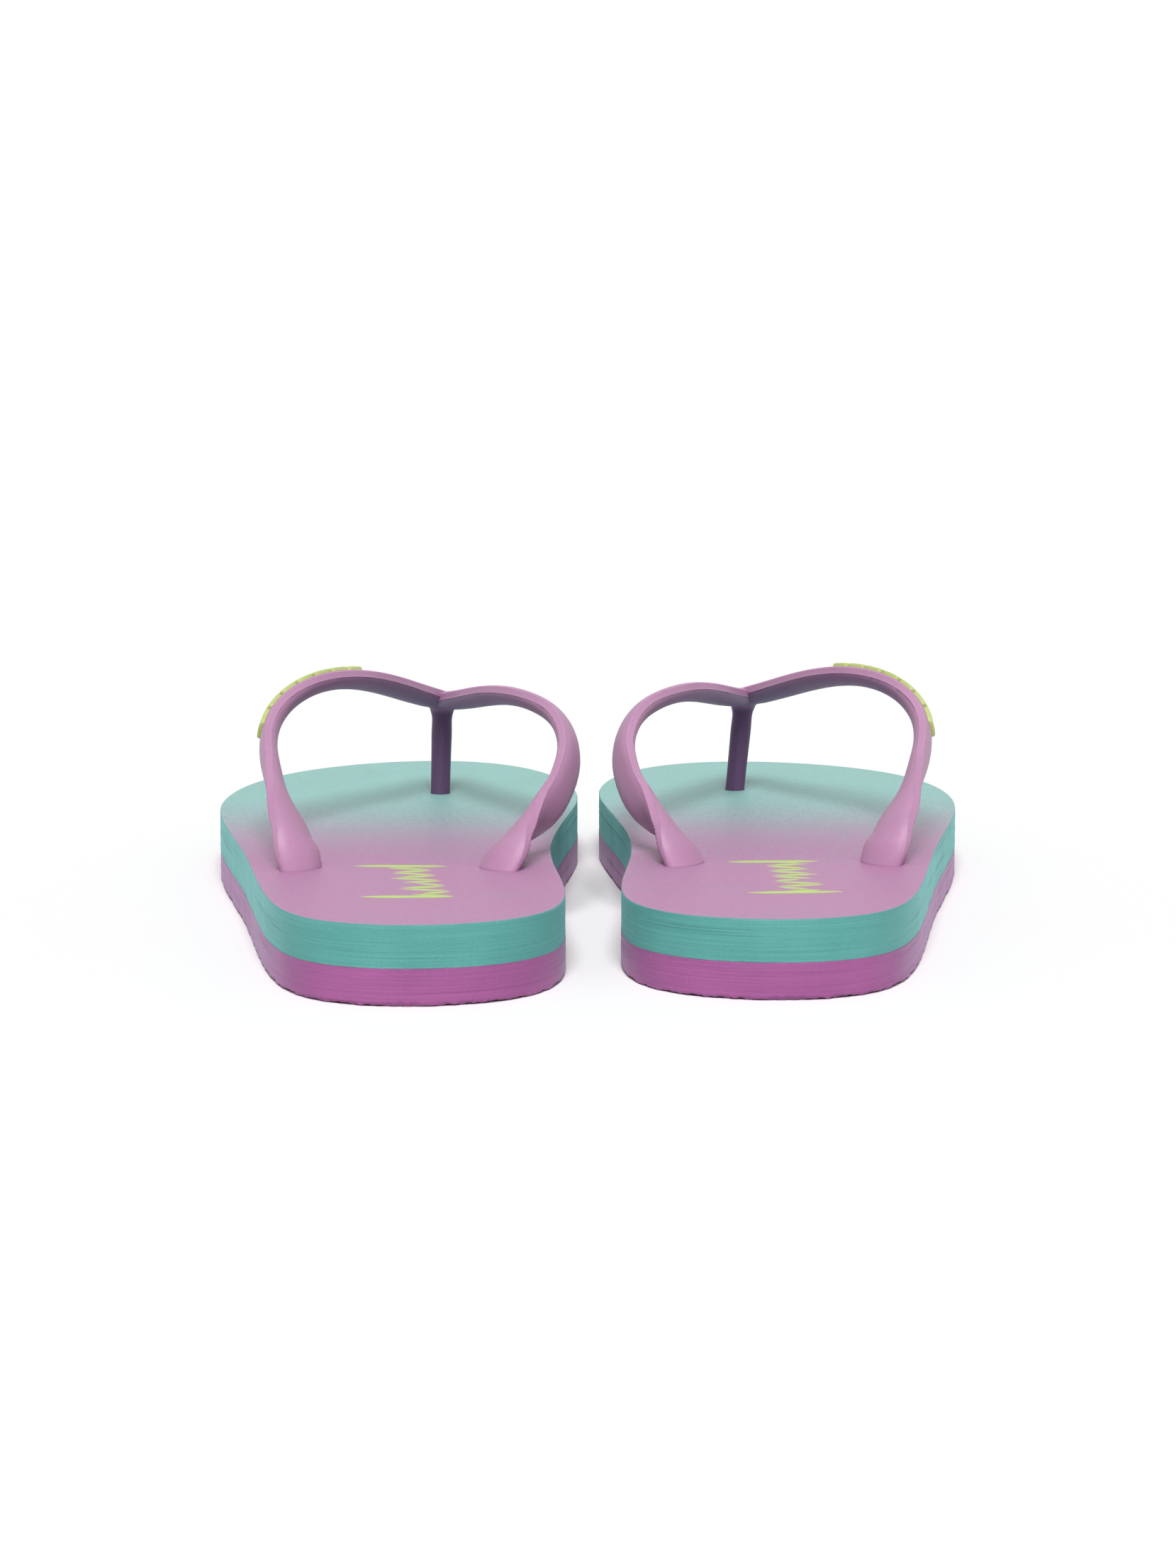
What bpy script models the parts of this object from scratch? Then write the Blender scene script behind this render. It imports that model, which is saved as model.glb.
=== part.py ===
"""A pair of thong sandals, as the pieces that would lie on a bench.

Each sandal has a footbed layer bonded on an outsole layer, one moulded strap whose
stems pass through both layers and end in plugs sunk in the underside, and a row of
raised tiles on the strap's outer arm.

Metres, +Z up, +Y towards the toes, +X to the wearer's right. The origin is on the
ground in the middle of the pair. Inside one sandal, "out" is the distance from the
toe-post line towards the little toe, "along" is the distance from the back of the
heel, and "up" is the height above the ground.
"""
import math

import bmesh
import bpy
import numpy as np
from mathutils import Matrix, Vector

# Sole
SOLE_LENGTH = 0.255
HEEL_WIDTH = 0.071
BALL_WIDTH = 0.094
FOOTBED_THICKNESS = 0.0097
OUTSOLE_HEEL_THICKNESS = 0.0085
OUTSOLE_TOE_THICKNESS = 0.0070
LAYER_GAP = 0.0003
MERGE_DISTANCE = 0.00001

# Holes through both layers, and the plugs under them
SIDE_HOLE_STATION = 0.0765
OUTER_HOLE_OUT = 0.0288
INNER_HOLE_OUT = -0.0187
TOE_HOLE_FROM_TIP = 0.0535
STEM_LENGTH = 0.0110
STEM_WIDTH = 0.0052
STEM_TURN = math.radians(45)
STEM_CLEARANCE = 0.0003
PLUG_RADIUS = 0.0080
PLUG_THICKNESS = 0.0024
PLUG_INSET = 0.0008
PLUG_CLEARANCE = 0.0004

# Cutters
CUT_MARGIN = 0.010  # how far a cutter reaches past the faces it cuts
HOLE_SIDES = 28
RECESS_SIDES = 32
RECESS_TURN = 0.1  # keeps a recess's corners off the corners of the hole in it

# Strap
POST_RADIUS = 0.0026
POST_TOP_RADIUS = 0.0030
JUNCTION_HEIGHT = 0.0252
JUNCTION_BACK = 0.0025
JUNCTION_OUT = -0.0008
POST_TO_JUNCTION = 0.0004  # the post's end lies this far under the middle of the junction
STEM_HEAD = 0.0022  # how far a side stem reaches up into the seat of its arm
STEM_SIDES = 20
ARM_SEAT_GAP = 0.0004
ARM_RINGS = 30
ARM_SIDES = 12
OUTER_FACE_POWER = 0.6  # below 1 flattens an arm's outer face, and 1 leaves it oval

# Badge tiles
TILE_COUNT = 7
TILE_LENGTH = 0.0056
TILE_WIDTH = 0.0058
TILE_THICKNESS = 0.0014
TILE_PITCH = 0.0068
TILE_START = 0.0510
TILE_GAP = 0.0003
TILE_CHAMFER = 0.0005

# Where the two sandals stand
INNER_BALL_REACH = 0.0373
PAIR_GAP = 0.0054
RIGHT_AHEAD = 0.0070
RIGHT_TOE_IN = math.radians(0.9)
RIGHT_STRAP_LEAN = 0.0030

# The outline's control points, heel first and then round by the little toe. Each is
# a breadth as a share of the width that governs it, and a station as a share of the length.
OUTLINE_STEPS = 5  # points on the outline from one control point to the next
HEEL_OUTER = [(0.02, -0.008), (0.28, 0.014), (0.437, 0.078), (0.53, 0.220)]
BALL_OUTER = [
    (0.46, 0.370), (0.54, 0.515), (0.608, 0.647), (0.616, 0.784), (0.503, 0.914), (0.233, 0.996)
]
BALL_INNER = [
    (-0.085, 1.010), (-0.317, 0.935), (-0.418, 0.780), (-0.37, 0.627), (-0.325, 0.470), (-0.328, 0.345)
]
HEEL_INNER = [(-0.49, 0.212), (-0.50, 0.086), (-0.31, 0.012)]

# The strap arms from the side hole to the junction. Each row gives the share of the way
# along, the bulge away from the straight line between them, the height above the footbed,
# the way the outer face looks (degrees forward of sideways, degrees above level), the
# band's width and its thickness.
OUTER_ARM = [
    (0.000, 0.0000, 0.0004, 45, 0, 0.0130, 0.0064),
    (0.008, 0.0012, 0.0038, 45, 0, 0.0128, 0.0060),
    (0.043, 0.0042, 0.0082, 44, 2, 0.0120, 0.0053),
    (0.082, 0.0073, 0.0117, 40, 4, 0.0113, 0.0049),
    (0.134, 0.0111, 0.0152, 31, 7, 0.0106, 0.0047),
    (0.194, 0.0145, 0.0191, 21, 10, 0.0100, 0.0045),
    (0.263, 0.0179, 0.0236, 13, 14, 0.0096, 0.0044),
    (0.341, 0.0199, 0.0289, 12, 24, 0.0094, 0.0044),
    (0.435, 0.0190, 0.0339, 18, 45, 0.0092, 0.0044),
    (0.552, 0.0145, 0.0367, 30, 65, 0.0090, 0.0044),
    (0.690, 0.0086, 0.0350, 45, 72, 0.0088, 0.0045),
    (0.853, 0.0033, 0.0297, 60, 74, 0.0086, 0.0047),
    (1.000, 0.0000, 0.0252, 90, 72, 0.0086, 0.0050),
]
INNER_ARM = [
    (0.000, 0.0000, 0.0004, 45, 0, 0.0130, 0.0064),
    (0.010, 0.0018, 0.0026, 42, 0, 0.0128, 0.0060),
    (0.047, 0.0056, 0.0064, 33, 2, 0.0120, 0.0053),
    (0.078, 0.0086, 0.0088, 22, 4, 0.0113, 0.0049),
    (0.112, 0.0122, 0.0115, 8, 7, 0.0106, 0.0047),
    (0.155, 0.0157, 0.0144, -6, 10, 0.0100, 0.0045),
    (0.207, 0.0185, 0.0173, -14, 12, 0.0096, 0.0044),
    (0.302, 0.0218, 0.0232, -14, 18, 0.0094, 0.0044),
    (0.379, 0.0215, 0.0283, 0, 35, 0.0092, 0.0044),
    (0.491, 0.0176, 0.0318, 20, 58, 0.0090, 0.0044),
    (0.690, 0.0098, 0.0313, 45, 70, 0.0088, 0.0045),
    (0.850, 0.0042, 0.0279, 60, 73, 0.0086, 0.0047),
    (1.000, 0.0000, 0.0252, 90, 72, 0.0086, 0.0050),
]

TURQUOISE_FOAM = ("turquoise_foam", (0.36, 0.63, 0.60), 0.8)
PINK_FOAM = ("pink_foam", (0.56, 0.28, 0.50), 0.85)
LILAC_PVC = ("lilac_pvc", (0.56, 0.34, 0.50), 0.45)
LIME_PVC = ("lime_pvc", (0.55, 0.58, 0.30), 0.4)


def make_collection(name):
    """A new collection in the scene."""
    group = bpy.data.collections.new(name)
    bpy.context.scene.collection.children.link(group)
    return group


def make_material(finish):
    """The Principled material of a finish, made once and then shared."""
    name, colour, roughness = finish
    material = bpy.data.materials.get(name)
    if material is None:
        material = bpy.data.materials.new(name)
        material.use_nodes = True
        shader = material.node_tree.nodes["Principled BSDF"]
        shader.inputs["Base Color"].default_value = (*colour, 1)
        shader.inputs["Roughness"].default_value = roughness
        shader.inputs["Metallic"].default_value = 0
    return material


def place(thing, group, sandal, finish=None):
    """Links an object, hangs it on its sandal's empty, and gives it its material."""
    group.objects.link(thing)
    thing.parent = sandal["empty"]
    if finish:
        thing.data.materials.append(make_material(finish))
    return thing


def cutter(thing, group, sandal):
    """Links an object that only shapes others, shown as wires."""
    place(thing, group, sandal)
    thing.hide_render = True
    thing.display_type = "WIRE"
    return thing


def combine(thing, other, operation):
    """Joins another object to this one, or cuts it away, with a Boolean modifier."""
    step = thing.modifiers.new(other.name, "BOOLEAN")
    step.operation = operation
    step.solver = "EXACT"
    step.object = other


def toe_hole_station():
    """Distance of the toe post's hole from the back of the heel."""
    return SOLE_LENGTH - TOE_HOLE_FROM_TIP


def bond_height(along):
    """Top of the outsole: it thins evenly from the heel to the toes."""
    share = along / SOLE_LENGTH
    return OUTSOLE_HEEL_THICKNESS + (OUTSOLE_TOE_THICKNESS - OUTSOLE_HEEL_THICKNESS) * share


def footbed_height(along):
    """Top of the footbed."""
    return bond_height(along) + LAYER_GAP + FOOTBED_THICKNESS


def outline_points():
    """Control points (out, along) of the sole's outline."""
    heel = [(b * HEEL_WIDTH, s * SOLE_LENGTH) for b, s in HEEL_OUTER]
    outer = [(b * BALL_WIDTH, s * SOLE_LENGTH) for b, s in BALL_OUTER]
    inner = [(b * BALL_WIDTH, s * SOLE_LENGTH) for b, s in BALL_INNER]
    return heel + outer + inner + [(b * HEEL_WIDTH, s * SOLE_LENGTH) for b, s in HEEL_INNER]


def sole_layer(name, sandal, low, high):
    """A slab of the outline's shape between two height functions of the distance along.

    It is extruded level, and then its upper and lower corners move to the two heights."""
    curve = bpy.data.curves.new(name, "CURVE")
    curve.dimensions = "2D"
    curve.fill_mode = "BOTH"
    curve.extrude = FOOTBED_THICKNESS / 2
    points = outline_points()
    spline = curve.splines.new("NURBS")
    spline.points.add(len(points) - 1)
    for point, (out, along) in zip(spline.points, points):
        point.co = (out * sandal["side"], along, 0, 1)
    spline.use_cyclic_u = True
    spline.order_u = 4
    spline.resolution_u = OUTLINE_STEPS
    source = bpy.data.objects.new(name + "_outline", curve)
    bpy.context.scene.collection.objects.link(source)
    depsgraph = bpy.context.evaluated_depsgraph_get()
    mesh = bpy.data.meshes.new_from_object(source.evaluated_get(depsgraph))
    bpy.data.objects.remove(source, do_unlink=True)
    shape = bmesh.new()
    shape.from_mesh(mesh)
    bmesh.ops.remove_doubles(shape, verts=shape.verts, dist=MERGE_DISTANCE)
    for vertex in shape.verts:
        height = high if vertex.co.z > 0 else low
        vertex.co.z = height(vertex.co.y)
    bmesh.ops.recalc_face_normals(shape, faces=shape.faces)
    shape.to_mesh(mesh)
    shape.free()
    mesh.name = name
    return bpy.data.objects.new(name, mesh)


def upright_oval(name, centre, low, high, length, width, turn, sides):
    """An upright cylinder of oval section; turn is the long axis's angle from +X."""
    shape = bmesh.new()
    bmesh.ops.create_cone(
        shape, cap_ends=True, segments=sides, radius1=0.5, radius2=0.5, depth=high - low
    )
    bmesh.ops.scale(shape, vec=(length, width, 1), verts=shape.verts)
    bmesh.ops.rotate(shape, matrix=Matrix.Rotation(turn, 3, "Z"), verts=shape.verts)
    bmesh.ops.translate(shape, vec=(*centre, (low + high) / 2), verts=shape.verts)
    mesh = bpy.data.meshes.new(name)
    shape.to_mesh(mesh)
    shape.free()
    return bpy.data.objects.new(name, mesh)


def anchors(sandal):
    """The three places where the strap passes through the sole."""
    side = sandal["side"]
    return [
        {
            "name": "outer",
            "centre": (side * OUTER_HOLE_OUT, SIDE_HOLE_STATION),
            "size": (STEM_LENGTH, STEM_WIDTH),
            "turn": math.pi / 2 + side * STEM_TURN,
        },
        {
            "name": "inner",
            "centre": (side * INNER_HOLE_OUT, SIDE_HOLE_STATION),
            "size": (STEM_LENGTH, STEM_WIDTH),
            "turn": math.pi / 2 - side * STEM_TURN,
        },
        {
            "name": "toe",
            "centre": (0.0, toe_hole_station()),
            "size": (2 * POST_RADIUS, 2 * POST_RADIUS),
            "turn": 0.0,
        },
    ]


def cut_stem_holes(layer, sandal, cutters):
    """Cuts the holes that the strap's stems pass through."""
    for anchor in anchors(sandal):
        length, width = anchor["size"]
        hole = upright_oval(
            layer.name + "_" + anchor["name"] + "_hole",
            anchor["centre"],
            -CUT_MARGIN,
            footbed_height(0) + CUT_MARGIN,
            length + 2 * STEM_CLEARANCE,
            width + 2 * STEM_CLEARANCE,
            anchor["turn"],
            HOLE_SIDES,
        )
        combine(layer, cutter(hole, cutters, sandal), "DIFFERENCE")


def cut_plug_recesses(layer, sandal, cutters):
    """Cuts the round recesses in the underside that the plugs sit in."""
    depth = PLUG_INSET + PLUG_THICKNESS + PLUG_CLEARANCE
    for anchor in anchors(sandal):
        across = 2 * (PLUG_RADIUS + PLUG_CLEARANCE)
        recess = upright_oval(
            layer.name + "_" + anchor["name"] + "_recess",
            anchor["centre"],
            -CUT_MARGIN,
            depth,
            across,
            across,
            RECESS_TURN,
            RECESS_SIDES,
        )
        combine(layer, cutter(recess, cutters, sandal), "DIFFERENCE")


def footbed(sandal, parts, cutters):
    """Upper foam layer, with the holes for the strap's stems."""
    layer = sole_layer(
        sandal["name"] + "_footbed", sandal, lambda y: bond_height(y) + LAYER_GAP, footbed_height
    )
    place(layer, parts, sandal, TURQUOISE_FOAM)
    cut_stem_holes(layer, sandal, cutters)


def outsole(sandal, parts, cutters):
    """Lower foam layer, with the stem holes and the recesses that hold the plugs."""
    layer = sole_layer(sandal["name"] + "_outsole", sandal, lambda y: 0.0, bond_height)
    place(layer, parts, sandal, PINK_FOAM)
    cut_stem_holes(layer, sandal, cutters)
    cut_plug_recesses(layer, sandal, cutters)


def smooth_rows(knots, rows, at):
    """Natural cubic spline through the rows: each piece between two knots is a cubic,
    and neighbouring pieces share slope and bend."""
    step = np.diff(knots)
    count = len(knots)
    system = np.eye(count)
    bend = np.zeros_like(rows)
    for i in range(1, count - 1):
        system[i, i - 1] = step[i - 1]
        system[i, i] = 2 * (step[i - 1] + step[i])
        system[i, i + 1] = step[i]
        bend[i] = 6 * ((rows[i + 1] - rows[i]) / step[i] - (rows[i] - rows[i - 1]) / step[i - 1])
    bend = np.linalg.solve(system, bend)
    left = np.clip(np.searchsorted(knots, at) - 1, 0, count - 2)
    width = step[left][:, None]
    a = (knots[left + 1] - at)[:, None] / width
    b = 1 - a
    curve = ((a**3 - a) * bend[left] + (b**3 - b) * bend[left + 1]) * width**2 / 6
    return a * rows[left] + b * rows[left + 1] + curve


def lean(up, sandal):
    """How far a strap that has been pushed over stands outwards at a height above the footbed."""
    return sandal["lean"] * up / JUNCTION_HEIGHT


def arm_frames(table, sign, sandal, stations):
    """Centre, direction, band axis, outward axis, width and thickness along an arm.

    sign is 1 on the little toe's side and -1 on the big toe's side, and stations
    are distances along the arm from its seat, or None for even spacing."""
    hole_out = OUTER_HOLE_OUT if sign > 0 else INNER_HOLE_OUT
    end_along = toe_hole_station() - JUNCTION_BACK
    rows = []
    for share, bulge, up, forward, above, width, thickness in table:
        out = hole_out + share * (JUNCTION_OUT - hole_out) + sign * bulge + lean(up, sandal)
        along = SIDE_HOLE_STATION + share * (end_along - SIDE_HOLE_STATION)
        level = math.cos(math.radians(above))
        facing = (
            sign * level * math.cos(math.radians(forward)),
            level * math.sin(math.radians(forward)),
            math.sin(math.radians(above)),
        )
        rows.append((out, along, footbed_height(along) + up, *facing, width, thickness))
    rows = np.array(rows)
    rows[:, [0, 3]] *= sandal["side"]
    knots = np.concatenate([[0], np.cumsum(np.linalg.norm(np.diff(rows[:, :3], axis=0), axis=1))])
    if stations is None:
        stations = np.linspace(0, knots[-1], ARM_RINGS)
    values = smooth_rows(knots, rows, stations)
    nudge = 0.0005
    ahead = smooth_rows(knots, rows, np.minimum(stations + nudge, knots[-1]))[:, :3]
    behind = smooth_rows(knots, rows, np.maximum(stations - nudge, 0))[:, :3]
    direction = ahead - behind
    direction /= np.linalg.norm(direction, axis=1)[:, None]
    outward = values[:, 3:6]
    outward = outward - np.sum(outward * direction, axis=1)[:, None] * direction
    outward /= np.linalg.norm(outward, axis=1)[:, None]
    band = np.cross(direction, outward)
    return values[:, :3], direction, band, outward, values[:, 6], values[:, 7]


def loft(name, rings):
    """A closed body through rings of points, with a flat cap at each end."""
    shape = bmesh.new()
    loops = [[shape.verts.new(point) for point in ring] for ring in rings]
    for lower, upper in zip(loops, loops[1:]):
        for i in range(len(lower)):
            j = (i + 1) % len(lower)
            shape.faces.new((lower[i], lower[j], upper[j], upper[i]))
    shape.faces.new(reversed(loops[0]))
    shape.faces.new(loops[-1])
    bmesh.ops.recalc_face_normals(shape, faces=shape.faces)
    mesh = bpy.data.meshes.new(name)
    shape.to_mesh(mesh)
    shape.free()
    return bpy.data.objects.new(name, mesh)


def strap_arm(name, table, sign, sandal):
    """One arm: an oval seat on the footbed that turns into a band with a flatter outer face.

    Where the arm leaves the seat at a slant, its low side lies on the footbed and not in it."""
    centre, direction, band, outward, width, thickness = arm_frames(table, sign, sandal, None)
    angle = np.arange(ARM_SIDES) * 2 * math.pi / ARM_SIDES
    power = np.where(np.sin(angle) > 0, OUTER_FACE_POWER, 1.0)
    across = np.cos(angle)
    proud = np.sign(np.sin(angle)) * np.abs(np.sin(angle)) ** power
    rings = (
        centre[:, None]
        + band[:, None] * (across[None, :] * width[:, None] / 2)[..., None]
        + outward[:, None] * (proud[None, :] * thickness[:, None] / 2)[..., None]
    )
    seat = footbed_height(rings[..., 1]) + ARM_SEAT_GAP
    rings[0, :, 2] = seat[0]
    rings[..., 2] = np.maximum(rings[..., 2], seat)
    return loft(name, rings)


def oval_ring(centre, height, length, width, turn):
    """A level ring of points on an oval; turn is the long axis's angle from +X."""
    angle = np.arange(STEM_SIDES) * 2 * math.pi / STEM_SIDES
    along = np.cos(angle) * length / 2
    across = np.sin(angle) * width / 2
    x = centre[0] + along * math.cos(turn) - across * math.sin(turn)
    y = centre[1] + along * math.sin(turn) + across * math.cos(turn)
    return np.stack([x, y, np.full_like(x, height)], axis=1)


def plug_rings(anchor):
    """The round plug in its recess, and the start of the stem on it."""
    across = 2 * PLUG_RADIUS
    top = PLUG_INSET + PLUG_THICKNESS
    centre, turn = anchor["centre"], anchor["turn"]
    return [
        oval_ring(centre, PLUG_INSET, across, across, turn),
        oval_ring(centre, top, across, across, turn),
        oval_ring(centre, top, *anchor["size"], turn),
    ]


def side_stem(name, anchor):
    """Plug and stem under an arm; the stem ends inside the arm's seat."""
    head = footbed_height(SIDE_HOLE_STATION) + STEM_HEAD
    top = oval_ring(anchor["centre"], head, *anchor["size"], anchor["turn"])
    return loft(name, plug_rings(anchor) + [top])


def toe_post(name, anchor, sandal):
    """Plug, stem and toe post in one, leaning back to the junction of the arms."""
    floor = footbed_height(toe_hole_station())
    rings = plug_rings(anchor)
    for share in (0.0, 0.25, 0.5, 0.75, 1.0):
        up = share * (JUNCTION_HEIGHT - POST_TO_JUNCTION)
        out = sandal["side"] * (share * JUNCTION_OUT + lean(up, sandal))
        along = toe_hole_station() - share * JUNCTION_BACK
        radius = POST_RADIUS + (POST_TOP_RADIUS - POST_RADIUS) * share**2
        rings.append(oval_ring((out, along), floor + up, 2 * radius, 2 * radius, anchor["turn"]))
    return loft(name, rings)


def strap(sandal, parts, cutters):
    """One moulding: two arms, the toe post, and three stems with plugs."""
    name = sandal["name"] + "_strap"
    outer, inner, toe = anchors(sandal)
    body = place(toe_post(name, toe, sandal), parts, sandal, LILAC_PVC)
    pieces = [
        strap_arm(name + "_outer_arm", OUTER_ARM, 1, sandal),
        strap_arm(name + "_inner_arm", INNER_ARM, -1, sandal),
        side_stem(name + "_outer_stem", outer),
        side_stem(name + "_inner_stem", inner),
    ]
    for piece in pieces:
        combine(body, cutter(piece, cutters, sandal), "UNION")


def badge_tiles(sandal, parts):
    """Plain raised tiles in a row on the outer face of the outer arm."""
    stations = TILE_START + TILE_PITCH * np.arange(TILE_COUNT)
    frames = arm_frames(OUTER_ARM, 1, sandal, stations)
    for number, (centre, direction, band, outward, _, thickness) in enumerate(zip(*frames), 1):
        shape = bmesh.new()
        bmesh.ops.create_cube(shape, size=1)
        bmesh.ops.scale(shape, vec=(TILE_LENGTH, TILE_WIDTH, TILE_THICKNESS), verts=shape.verts)
        axes = Matrix((direction, band, outward)).transposed()
        if axes.determinant() < 0:
            axes = Matrix((direction, -band, outward)).transposed()
        lift = thickness / 2 + TILE_GAP + TILE_THICKNESS / 2
        bmesh.ops.rotate(shape, matrix=axes, verts=shape.verts)
        bmesh.ops.translate(shape, vec=Vector(centre + outward * lift), verts=shape.verts)
        name = f"{sandal['name']}_badge_tile_{number}"
        mesh = bpy.data.meshes.new(name)
        shape.to_mesh(mesh)
        shape.free()
        tile = place(bpy.data.objects.new(name, mesh), parts, sandal, LIME_PVC)
        edges = tile.modifiers.new("chamfer", "BEVEL")
        edges.width = TILE_CHAMFER
        edges.segments = 1


def make_sandal(name, side, ahead, toe_in, strap_lean, parts, cutters):
    """side is -1 for the left sandal and 1 for the right one, which turns in about its toe post."""
    empty = bpy.data.objects.new(name, None)
    parts.objects.link(empty)
    back = -(SOLE_LENGTH + RIGHT_AHEAD) / 2 + ahead
    swing = math.sin(toe_in) * toe_hole_station()
    empty.location = (side * (INNER_BALL_REACH + PAIR_GAP / 2 + swing), back, 0)
    empty.rotation_euler = (0, 0, side * toe_in)
    sandal = {"name": name, "side": side, "empty": empty, "lean": strap_lean}
    outsole(sandal, parts, cutters)
    footbed(sandal, parts, cutters)
    strap(sandal, parts, cutters)
    badge_tiles(sandal, parts)


def build_pair():
    """Clears the scene and makes the two sandals."""
    for thing in list(bpy.data.objects):
        bpy.data.objects.remove(thing, do_unlink=True)
    parts = make_collection("thong_sandals")
    cutters = make_collection("cutters")
    make_sandal("left", -1, 0.0, 0.0, 0.0, parts, cutters)
    make_sandal("right", 1, RIGHT_AHEAD, RIGHT_TOE_IN, RIGHT_STRAP_LEAN, parts, cutters)


build_pair()
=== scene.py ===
"""The looks of a pair of thong sandals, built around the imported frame.

Metres, +Z up, +Y towards the toes, +X to the wearer's right. Inside one sandal, "out" is the
distance from the toe-post line towards the little toe, "along" is the distance from the back
of the heel, and "up" is the height above the ground.
"""
import math

import bmesh
import bpy
import numpy as np
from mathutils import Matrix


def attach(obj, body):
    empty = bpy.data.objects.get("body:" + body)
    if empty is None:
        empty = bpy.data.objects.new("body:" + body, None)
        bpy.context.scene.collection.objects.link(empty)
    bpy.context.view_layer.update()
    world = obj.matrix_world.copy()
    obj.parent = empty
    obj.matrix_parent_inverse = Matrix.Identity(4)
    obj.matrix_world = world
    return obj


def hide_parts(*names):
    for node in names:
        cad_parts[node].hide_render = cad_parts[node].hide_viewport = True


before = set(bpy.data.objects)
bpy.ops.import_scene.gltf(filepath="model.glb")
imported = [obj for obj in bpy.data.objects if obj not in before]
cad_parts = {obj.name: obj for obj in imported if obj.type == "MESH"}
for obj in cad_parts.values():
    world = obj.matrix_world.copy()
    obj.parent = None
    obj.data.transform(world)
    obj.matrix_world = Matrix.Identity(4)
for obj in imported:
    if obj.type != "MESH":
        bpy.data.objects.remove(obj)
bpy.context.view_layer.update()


# ---------------------------------------------------------------------------------------
# Outsole: the lower layer of each sole, a sheet of pink EVA foam. It is split from a
# moulded block, bonded under the footbed, and cut out with it by one die, which leaves
# fine level cut marks on its edge. The ground side has a shallow diamond tread.
# ---------------------------------------------------------------------------------------
SOLE_LENGTH = 0.255
HEEL_WIDTH = 0.071
BALL_WIDTH = 0.094
OUTSOLE_HEEL_THICKNESS = 0.0085
OUTSOLE_TOE_THICKNESS = 0.0070
TREAD_PITCH = 0.0030
TREAD_DEPTH = 0.00036
TREAD_UNEVENNESS = 0.35
TREAD_PATCH = 0.0060
TREAD_SEED = 11
RIM_LIFT = 0.00075
RIM_REACH = 0.0011
RIM_SCALLOP = 0.0021
CUT_ROUGHNESS = 0.00005
CUT_MARK_STRETCH = 50
CUT_MARK_HEIGHT = 0.00045
CUT_WAVE_LENGTH = 0.0070
CUT_WAVE_SHARE = 2
ROUNDED_EDGE_SHARE = 0.3
STATIONS = 440
SPAN_POINTS = 200
LATTICE = 128
SIDES = {"left": -1, "right": 1}
TOE_LINE = 0.0400
RIGHT_AHEAD = 0.0070
TOE_IN = {"left": 0.0, "right": math.radians(0.9)}
TOE_HOLE = 0.2015
SPRING_FROM = 0.178
TOE_SPRING = {"left": 0.0012, "right": 0.0}

# The outline's controls as (breadth, station), heel first and then round by the little toe.
# The first four and the last three are shares of the heel's width, and the others of the ball's.
OUTLINE = np.array(
    [
        (0.02, -0.008), (0.28, 0.014), (0.437, 0.078), (0.53, 0.220),
        (0.46, 0.370), (0.54, 0.515), (0.608, 0.647),
        (0.616, 0.784), (0.503, 0.914), (0.233, 0.996),
        (-0.085, 1.010), (-0.317, 0.935), (-0.418, 0.780),
        (-0.37, 0.627), (-0.325, 0.470), (-0.328, 0.345),
        (-0.49, 0.212), (-0.50, 0.086), (-0.31, 0.012),
    ]
)
OUTLINE[:, 0] *= [HEEL_WIDTH] * 4 + [BALL_WIDTH] * 12 + [HEEL_WIDTH] * 3
OUTLINE[:, 1] *= SOLE_LENGTH


def origin(name):
    """Where a sandal's heel stands: the right one is ahead, and turned in about its toe post."""
    swing = math.sin(TOE_IN[name]) * TOE_HOLE
    ahead = RIGHT_AHEAD if name == "right" else 0.0
    back = ahead - (SOLE_LENGTH + RIGHT_AHEAD) / 2
    return np.array([SIDES[name] * (TOE_LINE + swing), back, 0.0])


def stand(name, out, along, up):
    """Points (out, along, up) of one sandal in the frame: mirrored to its side, turned, moved."""
    turn = SIDES[name] * TOE_IN[name]
    x = SIDES[name] * out
    across = x * math.cos(turn) - along * math.sin(turn)
    ahead = x * math.sin(turn) + along * math.cos(turn)
    return np.stack([across, ahead, up + 0 * x], axis=-1) + origin(name)


def spring(name, along):
    """How far the sole turns up towards the toes: with the square of the way along its front."""
    share = np.clip((along - SPRING_FROM) / (SOLE_LENGTH - SPRING_FROM), 0, None)
    return TOE_SPRING[name] * share**2


def grain(x, y, size, seed):
    """Smooth random heights from -1 to 1: random values on a square lattice of the given size,
    eased between neighbours by 3t^2 - 2t^3. Adding a constant to x or y picks another part of
    the lattice."""
    table = np.random.default_rng(seed).uniform(-1, 1, (LATTICE, LATTICE))
    i, j = np.floor(x / size).astype(int), np.floor(y / size).astype(int)
    u, v = x / size - i, y / size - j
    u, v = u * u * (3 - 2 * u), v * v * (3 - 2 * v)
    i, j, next_i, next_j = (n % LATTICE for n in (i, j, i + 1, j + 1))
    near = table[i, j] * (1 - u) + table[next_i, j] * u
    far = table[i, next_j] * (1 - u) + table[next_i, next_j] * u
    return near * (1 - v) + far * v


def ease(x):
    """0 below 0, 1 above 1, and 3t^2 - 2t^3 between."""
    t = np.clip(x, 0, 1)
    return t * t * (3 - 2 * t)


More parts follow.
